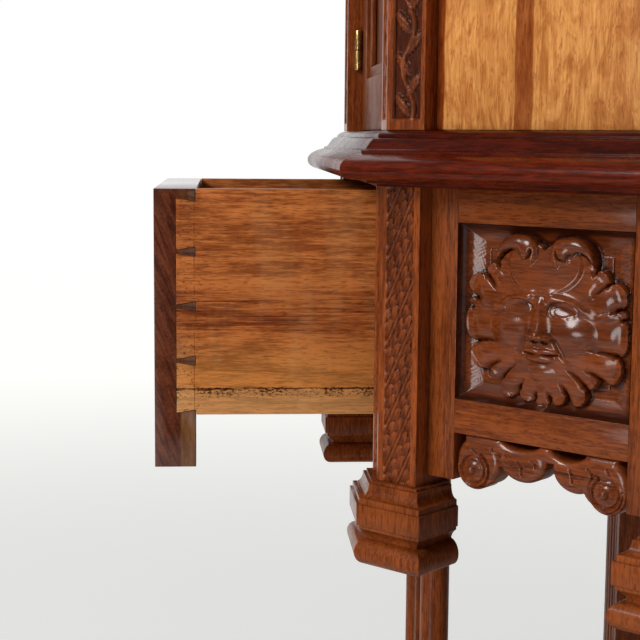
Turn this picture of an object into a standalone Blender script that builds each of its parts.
"""Gothic revival cupboard with canted sides: a moulded body with carved masks, hanging corner
pendants, a front drawer and a front door, carried on back legs and a pair of colonnettes.

Metres, +Z up. The front faces -Y, X runs to the right, and the floor is at Z = 0.
Y = 0 is the plane of the front posts' faces. The drawer stands open, as it was photographed.
"""

import math

import bmesh
import bpy
from mathutils import Matrix, Vector

# Plan of the body, measured on the outer faces of its posts
FRONT_WIDTH = 0.402
CANT_LENGTH = 0.275
CANT_ANGLE = math.radians(45)
END_LENGTH = 0.206

# Heights
PLINTH_HEIGHT = 0.060
WAIST_BOTTOM = 0.920
WAIST_HEIGHT = 0.0428
FRIEZE_HEIGHT = 0.190
UPPER_HEIGHT = 0.520
CORNICE_HEIGHT = 0.075

# Corner posts and the pendants under them
POST_FACE = 0.0377
POST_DEPTH = 0.034
POST_DROP = 0.2317
UPPER_POST_INSET = 0.0035
PENDANT_FILLET = 0.0021
PENDANT_CAVETTO = 0.0105
PENDANT_BAND = 0.0047
PENDANT_BLOCK = 0.0168
PENDANT_STEP = 0.0034
PENDANT_COVE = 0.0082
PENDANT_ROLL_RADIUS = 0.0105
PENDANT_REACH = 0.0172
PENDANT_BACK = 0.0060
PENDANT_ARRIS = 0.0004

# Back legs
LEG_WIDTH = 0.054
LEG_DEPTH = 0.050

# Frames of the canted bays and of the ends
SETBACK = 0.0147
STILE_WIDTH = 0.0247
STILE_DROP = 0.224
TOP_RAIL = 0.026
BOTTOM_RAIL = 0.0266
RAIL_RISE = 0.0030
FRAME_THICKNESS = 0.028
PANEL_SINK = 0.0125
PANEL_SPLAY = 0.011
MASK_RELIEF = 0.0165
MASK_ASPECT = 1.14
APRON_THICKNESS = 0.018
APRON_SETBACK = 0.002
APRON_DROP = 0.042
VOLUTE_RADIUS = 0.0165

# Drawer
DRAWER_OPEN = 0.1927
DRAWER_LENGTH = 0.345
DRAWER_TOP_CLEARANCE = 0.0049
DRAWER_SIDE_CLEARANCE = 0.0008
JAMB_WIDTH = 0.0175
JAMB_DEPTH = 0.034
GUIDE_HEIGHT = 0.022
DRAWER_FRONT_THICKNESS = 0.0337
DRAWER_LAP = 0.0180
DRAWER_DROP = 0.2333
DRAWER_SIDE_THICKNESS = 0.012
DRAWER_BACK_THICKNESS = 0.012
DRAWER_BOTTOM_THICKNESS = 0.008
DRAWER_BOTTOM_RISE = 0.009
DRAWER_FRONT_POCKET = 0.016
TAIL_COUNT = 4
PIN_NARROW = 0.0032
PIN_WIDE = 0.0085
TOP_PIN = 0.0062

# Boards
FLOOR_THICKNESS = 0.014
FLOOR_INSET_FRONT = 0.051
BACK_THICKNESS = 0.012
UPPER_PANEL_THICKNESS = 0.012
ARCH_THICKNESS = 0.009
ARCH_HEIGHT = 0.115
ARCH_MARGIN = 0.014
SHELF_THICKNESS = 0.016
SHELF_RISE = 0.255
BATTEN_SIZE = 0.014

# Colonnettes under the front
COLONNETTE_SPACING = 0.100
COLONNETTE_SETBACK = 0.070
COLONNETTE_RADIUS = 0.0130

# Door
DOOR_THICKNESS = 0.022
DOOR_GAP = 0.0012
DOOR_STILE = 0.044
DOOR_RAIL = 0.050
DOOR_PANEL_THICKNESS = 0.010
DOOR_PANEL_SINK = 0.009
TRACERY_THICKNESS = 0.0055
TRACERY_BAR = 0.011
KNUCKLE_RADIUS = 0.0040
PIN_RADIUS = 0.0020
PIN_CLEARANCE = 0.0003
KNUCKLE_LENGTH = 0.020
HINGE_INSET = 0.080
KNOB_RADIUS = 0.011

# Gap that touching pieces keep
GAP = 0.0003

# Sizes worked out from those above
CANT_STEP = Vector((math.cos(CANT_ANGLE), math.sin(CANT_ANGLE))) * CANT_LENGTH
CANT_WIDTH = CANT_STEP.x
CANT_DEPTH = CANT_STEP.y
HALF_FRONT = FRONT_WIDTH / 2
HALF_BODY = HALF_FRONT + CANT_WIDTH
BODY_DEPTH = CANT_DEPTH + END_LENGTH
WAIST_TOP = WAIST_BOTTOM + WAIST_HEIGHT
CORNICE_BOTTOM = WAIST_TOP + UPPER_HEIGHT
FLOOR_TOP = WAIST_BOTTOM - FRIEZE_HEIGHT
FLOOR_BOTTOM = FLOOR_TOP - FLOOR_THICKNESS
POST_BOTTOM = WAIST_BOTTOM - POST_DROP
FRAME_BACK = SETBACK + FRAME_THICKNESS
LEG_INNER = HALF_BODY - LEG_WIDTH
LEG_FRONT = BODY_DEPTH - LEG_DEPTH
END_FRAME_THICKNESS = LEG_WIDTH - SETBACK
DRAWER_HALF = HALF_FRONT - POST_FACE - JAMB_WIDTH - DRAWER_SIDE_CLEARANCE - GAP
DRAWER_TOP = WAIST_BOTTOM - DRAWER_TOP_CLEARANCE
DRAWER_BASE = FLOOR_TOP + GAP
DRAWER_FRONT_BACK = SETBACK + DRAWER_FRONT_THICKNESS
DRAWER_END = SETBACK + DRAWER_LENGTH
RECESS_TOP = WAIST_BOTTOM - TOP_RAIL
RAIL_BOTTOM = FLOOR_TOP + RAIL_RISE
RECESS_BOTTOM = RAIL_BOTTOM + BOTTOM_RAIL
UPPER_SETBACK = SETBACK + UPPER_POST_INSET
DOOR_HALF = HALF_FRONT - POST_FACE - DOOR_GAP
DOOR_BOTTOM = WAIST_TOP + DOOR_GAP
DOOR_TOP = CORNICE_BOTTOM - DOOR_GAP
HINGE_X = POST_FACE + KNUCKLE_RADIUS + GAP - HALF_FRONT
HINGE_Y = UPPER_SETBACK - KNUCKLE_RADIUS - GAP

# Colours of the woods and metals, as linear values
WALNUT = (0.155, 0.047, 0.018)
DARK_WALNUT = (0.080, 0.024, 0.013)
RED_WALNUT = (0.140, 0.030, 0.011)
DRAWER_WOOD = (0.402, 0.155, 0.050)
PALE_WALNUT = (0.570, 0.300, 0.092)
BRASS = (0.480, 0.300, 0.100)


def clear_scene():
    for existing in list(bpy.data.objects):
        bpy.data.objects.remove(existing, do_unlink=True)


def make_material(name, colour, roughness=0.42, metallic=0.0):
    material = bpy.data.materials.new(name)
    material.use_nodes = True
    shader = material.node_tree.nodes["Principled BSDF"]
    shader.inputs["Base Color"].default_value = (*colour, 1.0)
    shader.inputs["Roughness"].default_value = roughness
    shader.inputs["Metallic"].default_value = metallic
    return material


def collection_of(name):
    """A collection of the scene, made on its first use."""
    found = bpy.data.collections.get(name)
    if found is None:
        found = bpy.data.collections.new(name)
        bpy.context.scene.collection.children.link(found)
    return found


def link(name, data, colour, parent=None, roughness=0.42, metallic=0.0):
    piece = bpy.data.objects.new(name, data)
    collection_of("gothic_cupboard").objects.link(piece)
    piece.data.materials.append(make_material(name, colour, roughness, metallic))
    piece.parent = parent
    return piece


def finish(name, bm, colour, parent=None, roughness=0.42, metallic=0.0):
    """Turns a bmesh into a named piece."""
    bmesh.ops.recalc_face_normals(bm, faces=bm.faces)
    if bm.calc_volume(signed=True) < 0:
        bmesh.ops.reverse_faces(bm, faces=bm.faces)
    mesh = bpy.data.meshes.new(name)
    bm.to_mesh(mesh)
    bm.free()
    mesh.shade_smooth()
    mesh.set_sharp_from_angle(angle=math.radians(35))
    return link(name, mesh, colour, parent, roughness, metallic)


def make_empty(name, x, y, turn=0.0):
    empty = bpy.data.objects.new(name, None)
    collection_of("gothic_cupboard").objects.link(empty)
    empty.location = (x, y, 0)
    empty.rotation_euler = (0, 0, turn)
    return empty


def add_box(bm, low, high):
    low = Vector(low)
    high = Vector(high)
    size = Matrix.Diagonal((*(high - low), 1.0))
    bmesh.ops.create_cube(bm, size=1.0, matrix=Matrix.Translation((low + high) / 2) @ size)


def add_stack(bm, rings):
    """Joins rings of points into a solid."""
    loops = []
    for ring in rings:
        verts = [bm.verts.new(point) for point in ring]
        loops.append([bm.edges.new((verts[i - 1], verts[i])) for i in range(len(verts))])
    for lower, upper in zip(loops, loops[1:]):
        bmesh.ops.bridge_loops(bm, edges=lower + upper)
    bmesh.ops.edgeloop_fill(bm, edges=loops[0])
    bmesh.ops.edgeloop_fill(bm, edges=loops[-1])


def add_plate(bm, outline, front, back):
    """Extrudes an outline of X and Z points from one depth to another."""
    add_stack(bm, [[(x, y, z) for x, z in outline] for y in (front, back)])


def add_side(bm, outline, inner, outer):
    """Extrudes an outline of depth and height points across from one X to another."""
    add_stack(bm, [[(x, y, z) for y, z in outline] for x in (inner, outer)])


def cut(piece, cutter):
    """Cuts one piece with another, which stays in the file as a hidden helper."""
    collection_of("cutters").objects.link(cutter)
    collection_of("gothic_cupboard").objects.unlink(cutter)
    cutter.hide_render = True
    cutter.display_type = "WIRE"
    modifier = piece.modifiers.new("cut", "BOOLEAN")
    modifier.operation = "DIFFERENCE"
    modifier.solver = "EXACT"
    modifier.object = cutter


def meet(point_a, way_a, point_b, way_b):
    """The point where two lines in plan cross."""
    across = way_a.x * way_b.y - way_a.y * way_b.x
    apart = point_b - point_a
    return point_a + way_a * ((apart.x * way_b.y - apart.y * way_b.x) / across)


def offset_outline(corners, reaches):
    """Moves each side of a plan outline outward by its own reach, with mitred corners."""
    lines = []
    for i, reach in enumerate(reaches):
        start = Vector(corners[i])
        way = (Vector(corners[(i + 1) % len(corners)]) - start).normalized()
        lines.append((start + Vector((way.y, -way.x)) * reach, way))
    return [meet(*lines[i - 1], *lines[i]) for i in range(len(lines))]


def body_outline(front, cant, end, back):
    """The body's plan, anticlockwise from the front left corner, with each face moved out."""
    half = [(HALF_FRONT, 0), (HALF_BODY, CANT_DEPTH), (HALF_BODY, BODY_DEPTH)]
    corners = [(-HALF_FRONT, 0), *half, (-HALF_BODY, BODY_DEPTH), (-HALF_BODY, CANT_DEPTH)]
    return offset_outline(corners, [front, cant, end, back, end, cant])


def post_outline(reach, inset=0.0, back=0.0):
    """A corner post in plan, its outer edge at the origin and its inside towards +Y."""
    lean = CANT_ANGLE / 2
    along = Vector((math.cos(lean), math.sin(lean)))
    inward = Vector((-math.sin(lean), math.cos(lean)))
    far = along * POST_FACE
    deep = far + inward * POST_DEPTH
    corners = [(0, 0), far, deep, (-deep.x, deep.y), (-far.x, far.y)]
    face = reach - inset
    return offset_outline(corners, [face, reach, back, reach, face])


def lift(outline, z):
    return [(point.x, point.y, z) for point in outline]


def arc(centre, radius, first, last, steps):
    """Points on an arc, its angles in degrees."""
    angles = [math.radians(first + (last - first) * i / steps) for i in range(steps + 1)]
    return [(centre[0] + radius * math.cos(a), centre[1] + radius * math.sin(a)) for a in angles]


def make_turned(name, profile, colour, parent=None, roughness=0.42, metallic=0.0):
    """A lathe-turned piece: radius and height points, outer side upward, spun round the axis.

    A profile that doesn't start on the axis is closed, and makes a sleeve.
    """
    bm = bmesh.new()
    verts = [bm.verts.new((radius, 0, z)) for radius, z in profile]
    for first, second in zip(verts, verts[1:]):
        bm.edges.new((first, second))
    if profile[0][0] > 0:
        bm.edges.new((verts[-1], verts[0]))
    mesh = bpy.data.meshes.new(name)
    bm.to_mesh(mesh)
    bm.free()
    piece = link(name, mesh, colour, parent, roughness, metallic)
    spin = piece.modifiers.new("turned", "SCREW")
    spin.steps = 16
    spin.render_steps = 16
    spin.use_merge_vertices = True
    spin.merge_threshold = 0.00005
    spin.use_normal_flip = True
    return piece


def make_outline(name, loops, front, back, colour, parent):
    """A flat outline of X and Z points with holes, as a filled curve stood upright."""
    curve = bpy.data.curves.new(name, "CURVE")
    curve.dimensions = "2D"
    curve.fill_mode = "BOTH"
    curve.extrude = (back - front) / 2
    for points in loops:
        spline = curve.splines.new("POLY")
        spline.points.add(len(points) - 1)
        for point, (x, z) in zip(spline.points, points):
            point.co = (x, z, 0, 1)
        spline.use_cyclic_u = True
    piece = link(name, curve, colour, parent)
    piece.location.y = (front + back) / 2
    piece.rotation_euler.x = math.pi / 2
    return piece


def make_places():
    """Empties on the middle of each bay and on each post's outer edge, X along and Y inward."""
    places = {"front": make_empty("front_bay", 0, 0)}
    half_cant = CANT_ANGLE / 2
    for side, sign in (("left", -1), ("right", 1)):
        middle = (sign * (HALF_FRONT + CANT_WIDTH / 2), CANT_DEPTH / 2)
        places["canted", side] = make_empty(f"canted_bay_{side}", *middle, sign * CANT_ANGLE)
        end = (sign * HALF_BODY, CANT_DEPTH + END_LENGTH / 2)
        places["end", side] = make_empty(f"end_bay_{side}", *end, sign * math.pi / 2)
        corner = (sign * HALF_FRONT, 0)
        places["front_post", side] = make_empty(f"front_corner_{side}", *corner, sign * half_cant)
        corner = (sign * HALF_BODY, CANT_DEPTH)
        turn = sign * (CANT_ANGLE + half_cant)
        places["side_post", side] = make_empty(f"side_corner_{side}", *corner, turn)
    places["drawer"] = make_empty("drawer_slide", 0, -DRAWER_OPEN)
    places["door"] = make_empty("door_hinge_axis", HINGE_X, HINGE_Y)
    return places


def build_plinth():
    profile = [(0.016, 0.0), (0.016, 0.040), (0.013, 0.043), (0.007, 0.050), (0.003, 0.056)]
    profile.append((0.0, PLINTH_HEIGHT))
    bm = bmesh.new()
    add_stack(bm, [lift(body_outline(p, p, p, 0), z) for p, z in profile])
    finish("plinth", bm, WALNUT)


def build_back_legs():
    for side, sign in (("left", -1), ("right", 1)):
        bm = bmesh.new()
        xs = sorted((sign * LEG_INNER, sign * HALF_BODY))
        low = (xs[0], LEG_FRONT, PLINTH_HEIGHT + GAP)
        add_box(bm, low, (xs[1], BODY_DEPTH, WAIST_BOTTOM - GAP))
        finish(f"back_leg_{side}", bm, WALNUT)


def build_colonnettes():
    """Two turned shafts with moulded bases and caps, spun from one profile."""
    low = PLINTH_HEIGHT + GAP
    high = FLOOR_BOTTOM - GAP
    r = COLONNETTE_RADIUS
    foot = [(1.31 * r, 0.0), (1.31 * r, 0.030), (1.15 * r, 0.034), (1.27 * r, 0.042), (1.12 * r, 0.050), (r, 0.056)]
    ring = [(r, -0.018), (1.27 * r, -0.012), (1.27 * r, -0.006), (r, 0.0)]
    middle = (low + high) / 2
    head = [(r, 0.056), (1.12 * r, 0.050), (1.27 * r, 0.042), (1.08 * r, 0.034), (1.31 * r, 0.020), (1.31 * r, 0.0)]
    profile = [(0.0, low)]
    profile += [(radius, low + z) for radius, z in foot]
    profile += [(radius, middle + z) for radius, z in ring]
    profile += [(radius, high - z) for radius, z in head]
    profile.append((0.0, high))
    for side, sign in (("left", -1), ("right", 1)):
        shaft = make_turned(f"colonnette_{side}", profile, WALNUT)
        shaft.location = (sign * COLONNETTE_SPACING / 2, COLONNETTE_SETBACK, 0)


def build_backs():
    """The boards behind the frieze and behind the cupboard, between the legs."""
    reach = LEG_INNER - GAP
    front = BODY_DEPTH - BACK_THICKNESS
    heights = {
        "frieze_back": (FLOOR_BOTTOM, WAIST_BOTTOM - GAP, DARK_WALNUT),
        "upper_back": (WAIST_TOP + GAP, CORNICE_BOTTOM - GAP, PALE_WALNUT),
    }
    for name, (low, high, colour) in heights.items():
        bm = bmesh.new()
        add_box(bm, (-reach, front, low), (reach, BODY_DEPTH, high))
        finish(name, bm, colour, roughness=0.6)


def build_frieze_floor():
    """The board that the drawer runs on, held by the legs and the bottom rails."""
    cant = -FRAME_BACK - GAP
    outline = body_outline(-FLOOR_INSET_FRONT, cant, -LEG_WIDTH - GAP, -BACK_THICKNESS - GAP)
    bm = bmesh.new()
    add_stack(bm, [lift(outline, FLOOR_BOTTOM), lift(outline, FLOOR_TOP)])
    finish("frieze_floor", bm, DARK_WALNUT, roughness=0.6)


def build_posts(places):
    spans = {"": (POST_BOTTOM, WAIST_BOTTOM - GAP, 0.0)}
    spans["upper_"] = (WAIST_TOP + GAP, CORNICE_BOTTOM - GAP, UPPER_POST_INSET)
    for prefix, (low, high, inset) in spans.items():
        for kind in ("front_post", "side_post"):
            for side in ("left", "right"):
                outline = post_outline(0.0, inset)
                bm = bmesh.new()
                add_stack(bm, [lift(outline, low), lift(outline, high)])
                finish(f"{prefix}{kind}_{side}", bm, WALNUT, places[kind, side])
    for side, sign in (("left", -1), ("right", 1)):
        bm = bmesh.new()
        xs = sorted((sign * LEG_INNER, sign * (HALF_BODY - UPPER_POST_INSET)))
        low = (xs[0], LEG_FRONT, WAIST_TOP + GAP)
        add_box(bm, low, (xs[1], BODY_DEPTH, CORNICE_BOTTOM - GAP))
        finish(f"upper_back_post_{side}", bm, WALNUT)


def pendant_profile():
    """Reach and height of each moulding of a pendant, from the post down, its steps a little sloped."""
    reach = PENDANT_REACH
    z = POST_BOTTOM - GAP
    points = [(0.0047, z), (0.0047, z - PENDANT_FILLET)]
    z -= PENDANT_FILLET
    hollow = arc((reach - 0.0022, z), 1.0, 180, 270, 4)
    for x, y in hollow:
        across = (x - hollow[0][0]) * (reach - 0.0040 - 0.0072)
        points.append((0.0072 + across, z + (y - z) * PENDANT_CAVETTO))
    z -= PENDANT_CAVETTO
    points += [(reach - 0.0022, z), (reach - 0.0022, z - PENDANT_BAND)]
    z -= PENDANT_BAND
    points += [(reach, z), (reach, z - PENDANT_BLOCK)]
    z -= PENDANT_BLOCK
    points += [(reach - 0.0022, z), (reach - 0.0022, z - PENDANT_STEP)]
    z -= PENDANT_STEP
    neck = 0.0085
    points += [(neck + 0.0025, z - PENDANT_COVE / 3), (neck, z - PENDANT_COVE)]
    z -= PENDANT_COVE
    points += arc((neck, z - PENDANT_ROLL_RADIUS), PENDANT_ROLL_RADIUS, 80, -90, 7)
    eased = points[:1]
    for reach, z in points[1:]:
        flat = abs(z - eased[-1][1]) < PENDANT_ARRIS / 2
        eased.append((reach, z - PENDANT_ARRIS if flat else z))
    return eased


def build_pendants(places):
    for kind in ("front_post", "side_post"):
        for side in ("left", "right"):
            bm = bmesh.new()
            add_stack(bm, [lift(post_outline(reach, back=PENDANT_BACK), z) for reach, z in pendant_profile()])
            name = f"{kind.split('_')[0]}_pendant_{side}"
            finish(name, bm, WALNUT, places[kind, side])


def frame_loops(half):
    """A frame's outline, with stiles that drop below its bottom rail, and its opening."""
    inner = half - STILE_WIDTH
    drop = WAIST_BOTTOM - STILE_DROP
    right = [(half, WAIST_BOTTOM - GAP), (half, drop), (inner, drop), (inner, RAIL_BOTTOM)]
    outer = right + [(-x, z) for x, z in reversed(right)]
    corners = [(inner, RECESS_TOP), (inner, RECESS_BOTTOM)]
    return [outer, corners + [(-x, z) for x, z in reversed(corners)]]


def mask_height(u, v):
    """Height, from 0 to 1, of a foliate mask over its field, for u and v from -1 to 1."""

    def dome(cx, cy, rx, ry):
        return max(0.0, 1.0 - ((u - cx) / rx) ** 2 - ((v - cy) / ry) ** 2)

    away = math.hypot(u / 0.92, v)
    turn = math.atan2(u, v)
    lobes = 0.5 + 0.5 * math.cos(9 * turn)
    leaves = 0.34 * max(0.0, 1.0 - ((away - 0.66) / 0.26) ** 2) * (0.45 + 0.55 * lobes)
    face = 0.62 * math.sqrt(dome(0, 0.0, 0.46, 0.60))
    side = abs(u)
    brow = 0.16 * max(0.0, 1.0 - ((side - 0.20) / 0.20) ** 2 - ((v - 0.24) / 0.09) ** 2)
    socket = 0.20 * max(0.0, 1.0 - ((side - 0.19) / 0.13) ** 2 - ((v - 0.11) / 0.09) ** 2)
    eye = 0.16 * max(0.0, 1.0 - ((side - 0.19) / 0.09) ** 2 - ((v - 0.10) / 0.06) ** 2)
    cheek = 0.10 * max(0.0, 1.0 - ((side - 0.24) / 0.15) ** 2 - ((v + 0.12) / 0.14) ** 2)
    nose = 0.30 * dome(0, 0.0, 0.085, 0.24) + 0.16 * dome(0, -0.13, 0.12, 0.09)
    lips = 0.16 * dome(0, -0.30, 0.18, 0.045) + 0.14 * dome(0, -0.385, 0.14, 0.05)
    return max(leaves, face + brow - socket + eye + cheek + nose + lips if face > 0 else 0.0)


def add_relief(bm, half, low, high, front, back, peak, height):
    """A panel whose face is a carved relief, with splayed margins up to the frame's face."""
    splay = PANEL_SPLAY
    made = bmesh.ops.create_grid(bm, x_segments=26, y_segments=24, size=1.0)
    sheet = made["verts"]
    tall = (high - low) / 2
    for vert in sheet:
        u, v = vert.co.x, vert.co.y
        edge = min((1 - abs(u)) * half, (1 - abs(v)) * tall)
        rise = PANEL_SINK * max(0.0, 1.0 - edge / splay)
        field_u = u * half / ((tall - splay) * MASK_ASPECT)
        field_v = v * tall / (tall - splay)
        rise = max(rise, peak * height(field_u, field_v))
        vert.co = (u * half, front - rise, (low + high) / 2 + v * tall)
    faces = list({face for vert in sheet for face in vert.link_faces})
    grown = bmesh.ops.extrude_face_region(bm, geom=faces)["geom"]
    for item in grown:
        if isinstance(item, bmesh.types.BMVert):
            item.co.y = back
    flat = [item for item in grown if isinstance(item, bmesh.types.BMFace)]
    bmesh.ops.dissolve_faces(bm, faces=flat)


def apron_outline(half, top):
    """A scrolled apron: a volute at each end and a wave between them, open above the wave."""
    volute = (half - VOLUTE_RADIUS - 0.001, top - APRON_DROP + VOLUTE_RADIUS)
    slit_in = 0.12 * half
    slit_out = volute[0] - VOLUTE_RADIUS
    steps = 8
    slit = []
    for i in range(steps + 1):
        share = i / steps
        dip = 0.0085 * math.sin(math.pi * share) ** 0.7
        slit.append((slit_in + (slit_out - slit_in) * share, top - dip))
    curl = arc(volute, VOLUTE_RADIUS, 15, -190, 12)
    wave = []
    start_x, start_z = curl[-1]
    for i in range(1, steps):
        share = i / steps
        x = start_x * (1 - share)
        sag = 0.0085 * math.sin(math.pi * share)
        wave.append((x, start_z + (top - 0.027 - start_z) * share + sag))
    right = slit + [(half - 0.001, top)] + curl + wave
    left = [(-x, z) for x, z in reversed(right)]
    return right + [(0.0, top - 0.031)] + left


def add_fielded_panel(bm, half, low, high, front, back):
    """A panel with a raised field and sloping margins."""
    slope = PANEL_SPLAY

    def ring(margin, y):
        xs = (margin - half, half - margin)
        zs = (low + margin, high - margin)
        return [(xs[0], y, zs[0]), (xs[1], y, zs[0]), (xs[1], y, zs[1]), (xs[0], y, zs[1])]

    add_stack(bm, [ring(0.0, back), ring(0.0, front), ring(slope, front - 0.005)])


def build_bays(places):
    """The canted bays with their masks and aprons, and the plain ends behind them."""
    field = SETBACK + PANEL_SINK
    bays = {"canted": (CANT_LENGTH / 2 - POST_FACE - GAP, FRAME_THICKNESS)}
    bays["end"] = ((END_LENGTH - POST_FACE - LEG_DEPTH) / 2 - GAP, END_FRAME_THICKNESS)
    for kind, (half, thickness) in bays.items():
        inner = half - STILE_WIDTH - GAP
        span = (inner, RECESS_BOTTOM + GAP, RECESS_TOP - GAP)
        for side, sign in (("left", -1), ("right", 1)):
            place = places[kind, side]
            loops = frame_loops(half)
            frame = make_outline(f"{kind}_frame_{side}", loops, SETBACK, SETBACK + thickness, WALNUT, place)
            bm = bmesh.new()
            if kind == "end":
                add_fielded_panel(bm, *span, field, FRAME_BACK)
                panel = finish(f"end_panel_{side}", bm, WALNUT, place)
                frame.location.x = sign * (POST_FACE - LEG_DEPTH) / 2
                panel.location.x = frame.location.x
                continue
            add_relief(bm, *span, field, FRAME_BACK, MASK_RELIEF, mask_height)
            finish(f"mask_panel_{side}", bm, WALNUT, place)
            bm = bmesh.new()
            front = SETBACK + APRON_SETBACK
            add_plate(bm, apron_outline(inner, RAIL_BOTTOM - GAP), front, front + APRON_THICKNESS)
            finish(f"canted_apron_{side}", bm, WALNUT, place)


def build_drawer_ways():
    """A jamb beside each end of the drawer front, with a guide behind it along the floor."""
    inner = DRAWER_HALF + DRAWER_SIDE_CLEARANCE
    outer = HALF_FRONT - POST_FACE - GAP
    back = SETBACK + JAMB_DEPTH
    low = FLOOR_TOP + GAP
    outline = [(SETBACK, WAIST_BOTTOM - GAP), (SETBACK, FLOOR_BOTTOM), (back, FLOOR_BOTTOM), (back, low)]
    outline += [(DRAWER_END, low), (DRAWER_END, low + GUIDE_HEIGHT), (back, low + GUIDE_HEIGHT)]
    outline.append((back, WAIST_BOTTOM - GAP))
    for side, sign in (("left", -1), ("right", 1)):
        bm = bmesh.new()
        add_side(bm, outline, sign * inner, sign * outer)
        finish(f"drawer_guide_{side}", bm, WALNUT)


def tail_outlines(gap):
    """The dovetails on a drawer side, each as depth and height points, grown by a gap."""
    root = DRAWER_FRONT_BACK
    tip = SETBACK + DRAWER_LAP
    pitch = (DRAWER_TOP - TOP_PIN - DRAWER_BASE) / TAIL_COUNT
    outlines = []
    for i in range(TAIL_COUNT):
        low = DRAWER_BASE + i * pitch
        high = low + pitch
        wide = PIN_WIDE / 2 - gap
        slim = PIN_NARROW / 2 - gap
        outlines.append([(root, low + wide), (tip - gap, low + slim), (tip - gap, high - slim), (root, high - wide)])
    return outlines


def build_drawer(places):
    slide = places["drawer"]
    half = DRAWER_HALF
    drop = WAIST_BOTTOM - DRAWER_DROP
    inner = half - STILE_WIDTH
    outline = [(half, DRAWER_TOP), (-half, DRAWER_TOP), (-half, drop), (-inner, drop), (-inner, RAIL_BOTTOM)]
    outline += [(-x, z) for x, z in reversed(outline[2:])]
    bm = bmesh.new()
    add_plate(bm, outline, SETBACK, DRAWER_FRONT_BACK)
    front = finish("drawer_front", bm, DARK_WALNUT, slide)
    sockets = bmesh.new()
    for sign in (-1, 1):
        for tail in tail_outlines(GAP):
            grown = [(DRAWER_FRONT_BACK + 0.004, tail[0][1]), *tail, (DRAWER_FRONT_BACK + 0.004, tail[-1][1])]
            add_side(sockets, grown, sign * (half - DRAWER_SIDE_THICKNESS - GAP), sign * (half + 0.004))
    cut(front, finish("socket_cutter", sockets, DARK_WALNUT, slide))
    pocket = bmesh.new()
    low = (-inner, SETBACK - 0.004, RECESS_BOTTOM)
    add_box(pocket, low, (inner, SETBACK + DRAWER_FRONT_POCKET, RECESS_TOP))
    cut(front, finish("pocket_cutter", pocket, DARK_WALNUT, slide))

    bm = bmesh.new()
    span = (inner - GAP, RECESS_BOTTOM + GAP, RECESS_TOP - GAP)
    back = SETBACK + DRAWER_FRONT_POCKET - GAP
    add_relief(bm, *span, SETBACK + PANEL_SINK, back, MASK_RELIEF, mask_height)
    finish("drawer_mask", bm, WALNUT, slide)
    bm = bmesh.new()
    front_face = SETBACK + APRON_SETBACK
    add_plate(bm, apron_outline(inner - GAP, RAIL_BOTTOM - GAP), front_face, front_face + APRON_THICKNESS)
    finish("drawer_apron", bm, WALNUT, slide)

    for side, sign in (("left", -1), ("right", 1)):
        outline = [(DRAWER_END, DRAWER_TOP), (DRAWER_END, DRAWER_BASE), (DRAWER_FRONT_BACK + GAP, DRAWER_BASE)]
        for tail in tail_outlines(0.0):
            outline += tail
        outline.append((DRAWER_FRONT_BACK + GAP, DRAWER_TOP))
        bm = bmesh.new()
        add_side(bm, outline, sign * (half - DRAWER_SIDE_THICKNESS), sign * half)
        finish(f"drawer_side_{side}", bm, DRAWER_WOOD, slide, roughness=0.5)

    reach = half - DRAWER_SIDE_THICKNESS - GAP
    floor = DRAWER_BASE + DRAWER_BOTTOM_RISE
    bm = bmesh.new()
    low = (-reach, DRAWER_END - DRAWER_BACK_THICKNESS, floor)
    add_box(bm, low, (reach, DRAWER_END, DRAWER_TOP))
    finish("drawer_back", bm, DRAWER_WOOD, slide, roughness=0.6)
    bm = bmesh.new()
    high = (reach, DRAWER_END - DRAWER_BACK_THICKNESS - GAP, floor + DRAWER_BOTTOM_THICKNESS)
    add_box(bm, (-reach, DRAWER_FRONT_BACK + GAP, floor), high)
    finish("drawer_bottom", bm, DRAWER_WOOD, slide, roughness=0.6)


def build_waist():
    """A thick board between the stages, its edge worked into a big torus over two fillets."""
    profile = [(0.004, 0.0), (0.004, 0.0022), (0.012, 0.0024), (0.012, 0.0048), (0.0235, 0.0050)]
    profile += [(0.0300, 0.0068), (0.0332, 0.0105), (0.0336, 0.0140), (0.0322, 0.0178), (0.0290, 0.0208)]
    profile += [(0.0248, 0.0233), (0.0182, 0.0254), (0.0167, 0.0274), (0.0130, 0.0286), (0.0100, 0.0330)]
    profile += [(0.0064, 0.0369), (0.0032, 0.0380), (0.0011, 0.0417), (-0.0030, WAIST_HEIGHT)]
    bm = bmesh.new()
    add_stack(bm, [lift(body_outline(p, p, p, 0), WAIST_BOTTOM + z) for p, z in profile])
    finish("waist_board", bm, RED_WALNUT)


def build_cornice():
    share = CORNICE_HEIGHT / 0.075
    profile = [(-0.001, 0.0), (0.004, 0.003), (0.004, 0.010), (0.008, 0.013), (0.012, 0.022), (0.020, 0.032)]
    profile += [(0.029, 0.038), (0.029, 0.046), (0.035, 0.049), (0.038, 0.056), (0.035, 0.063), (0.028, 0.066)]
    profile += [(0.028, 0.071), (0.020, 0.075)]
    bm = bmesh.new()
    add_stack(bm, [lift(body_outline(p, p, p, 0), CORNICE_BOTTOM + z * share) for p, z in profile])
    finish("cornice", bm, RED_WALNUT)


def pointed_arch(half, spring, rise, steps=7):
    """The right half of a pointed arch, from its springing to its point."""
    radius = (half * half + rise * rise) / (2 * half)
    top = math.degrees(math.asin(rise / radius))
    return arc((half - radius, spring), radius, 0, top, steps)


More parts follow.
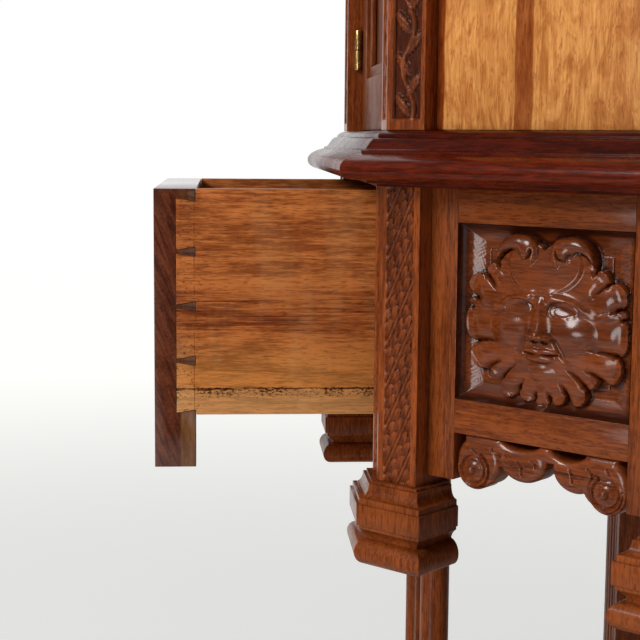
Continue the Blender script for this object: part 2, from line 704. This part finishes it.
def build_upper_sides(places):
    """Panels that close the canted bays and ends, with a pointed arch head on the canted ones."""
    low = WAIST_TOP + GAP
    high = CORNICE_BOTTOM - GAP
    back = UPPER_SETBACK + UPPER_PANEL_THICKNESS
    spans = {"canted": CANT_LENGTH / 2 - POST_FACE - GAP}
    spans["end"] = (END_LENGTH - POST_FACE - LEG_DEPTH) / 2 - GAP
    for kind, half in spans.items():
        for side, sign in (("left", -1), ("right", 1)):
            colour = PALE_WALNUT if kind == "canted" else WALNUT
            bm = bmesh.new()
            add_box(bm, (-half, UPPER_SETBACK, low), (half, back, high))
            panel = finish(f"upper_{kind}_panel_{side}", bm, colour, places[kind, side])
            if kind == "end":
                panel.location.x = sign * (POST_FACE - LEG_DEPTH) / 2
                continue
            spring = high - ARCH_HEIGHT
            opening = half - ARCH_MARGIN
            right = [(half, high), (half, spring), (opening, spring)]
            right += pointed_arch(opening, spring, ARCH_HEIGHT - ARCH_MARGIN)[1:]
            outline = right + [(-x, z) for x, z in reversed(right[:-1])]
            bm = bmesh.new()
            add_plate(bm, outline, UPPER_SETBACK - GAP - ARCH_THICKNESS, UPPER_SETBACK - GAP)
            finish(f"canted_arch_{side}", bm, WALNUT, places[kind, side])


def build_shelf():
    """A loose shelf on two battens inside the cupboard."""
    z = WAIST_TOP + SHELF_RISE
    inset = UPPER_SETBACK + UPPER_PANEL_THICKNESS + GAP
    front = UPPER_SETBACK + DOOR_THICKNESS + 0.020
    corner = POST_DEPTH + 0.012
    outline = body_outline(-front, -max(inset, corner), -LEG_WIDTH - GAP, -BACK_THICKNESS - GAP)
    bm = bmesh.new()
    add_stack(bm, [lift(outline, z), lift(outline, z + SHELF_THICKNESS)])
    finish("shelf", bm, PALE_WALNUT, roughness=0.6)
    for side, sign in (("left", -1), ("right", 1)):
        xs = sorted((sign * (HALF_BODY - inset), sign * (LEG_INNER - BATTEN_SIZE)))
        low = (xs[0], CANT_DEPTH + POST_FACE, z - GAP - BATTEN_SIZE)
        bm = bmesh.new()
        add_box(bm, low, (xs[1], LEG_FRONT - GAP, z - GAP))
        finish(f"shelf_batten_{side}", bm, PALE_WALNUT, roughness=0.6)


def lancet(centre, half, base, spring, rise):
    right = [(half, base)] + pointed_arch(half, spring, rise)
    both = right + [(-x, z) for x, z in reversed(right[:-1])]
    return [(centre + x, z) for x, z in both]


def build_door(places):
    """A framed door with a traceried panel, hung on two butt hinges at its left."""
    axis = places["door"]
    middle = -HINGE_X
    front = UPPER_SETBACK - HINGE_Y
    back = front + DOOR_THICKNESS
    inner = DOOR_HALF - DOOR_STILE
    reach = inner - GAP
    sides = (-DOOR_HALF, DOOR_HALF)
    outer = [(sides[1], DOOR_TOP), (sides[1], DOOR_BOTTOM), (sides[0], DOOR_BOTTOM), (sides[0], DOOR_TOP)]
    rails = (DOOR_BOTTOM + DOOR_RAIL, DOOR_TOP - DOOR_RAIL)
    hole = [(inner, rails[1]), (inner, rails[0]), (-inner, rails[0]), (-inner, rails[1])]
    frame = make_outline("door_frame", [outer, hole], front, back, WALNUT, axis)
    frame.location.x = middle

    low = DOOR_BOTTOM + DOOR_RAIL + GAP
    high = DOOR_TOP - DOOR_RAIL - GAP
    field = front + DOOR_PANEL_SINK
    bm = bmesh.new()
    add_box(bm, (middle - reach, field, low), (middle + reach, field + DOOR_PANEL_THICKNESS, high))
    finish("door_panel", bm, WALNUT, axis)
    bar = TRACERY_BAR
    light = (reach - 1.5 * bar) / 2
    spring = high - 0.150
    loops = [[(reach, low), (reach, high), (-reach, high), (-reach, low)]]
    for sign in (-1, 1):
        loops.append(lancet(sign * (light + bar / 2), light, low + bar, spring, 0.085))
    roundel = (0.0, high - 0.046)
    loops.append(arc(roundel, 0.032, 0, 345, 23))
    face = field - GAP
    tracery = make_outline("door_tracery", loops, face - TRACERY_THICKNESS, face, WALNUT, axis)
    tracery.location.x = middle

    knob_x = middle + DOOR_HALF - DOOR_STILE / 2
    knob_z = (DOOR_BOTTOM + DOOR_TOP) / 2
    profile = [(0.0, 0.0), (0.013, 0.0), (0.013, 0.002), (0.005, 0.004), (0.005, 0.012)]
    profile += arc((0.0, 0.018), KNOB_RADIUS, -50, 80, 6)
    profile.append((0.0, 0.018 + KNOB_RADIUS))
    knob = make_turned("door_knob", profile, BRASS, axis, 0.3, 1.0)
    knob.location = (knob_x, front - GAP, knob_z)
    knob.rotation_euler.x = math.pi / 2


def build_hinges(places):
    """Two hinges: a pintle on the post, with a pin that stands up in the door's knuckle."""
    levels = {"lower": DOOR_BOTTOM + HINGE_INSET, "upper": DOOR_TOP - HINGE_INSET}
    for name, level in levels.items():
        top = level + KNUCKLE_LENGTH
        low = level - KNUCKLE_LENGTH
        pintle = [(0.0, low), (KNUCKLE_RADIUS, low), (KNUCKLE_RADIUS, level - GAP)]
        pintle += [(PIN_RADIUS, level), (PIN_RADIUS, top), (0.0, top)]
        piece = make_turned(f"hinge_pintle_{name}", pintle, BRASS, None, 0.35, 1.0)
        piece.location = (HINGE_X, HINGE_Y, 0)
        bore = PIN_RADIUS + PIN_CLEARANCE
        low = level + GAP
        sleeve = [(bore, low), (KNUCKLE_RADIUS, low), (KNUCKLE_RADIUS, top), (bore, top)]
        make_turned(f"hinge_knuckle_{name}", sleeve, BRASS, places["door"], 0.35, 1.0)


def main():
    clear_scene()
    places = make_places()
    build_plinth()
    build_back_legs()
    build_colonnettes()
    build_backs()
    build_frieze_floor()
    build_posts(places)
    build_pendants(places)
    build_bays(places)
    build_drawer_ways()
    build_drawer(places)
    build_waist()
    build_upper_sides(places)
    build_shelf()
    build_cornice()
    build_door(places)
    build_hinges(places)


main()
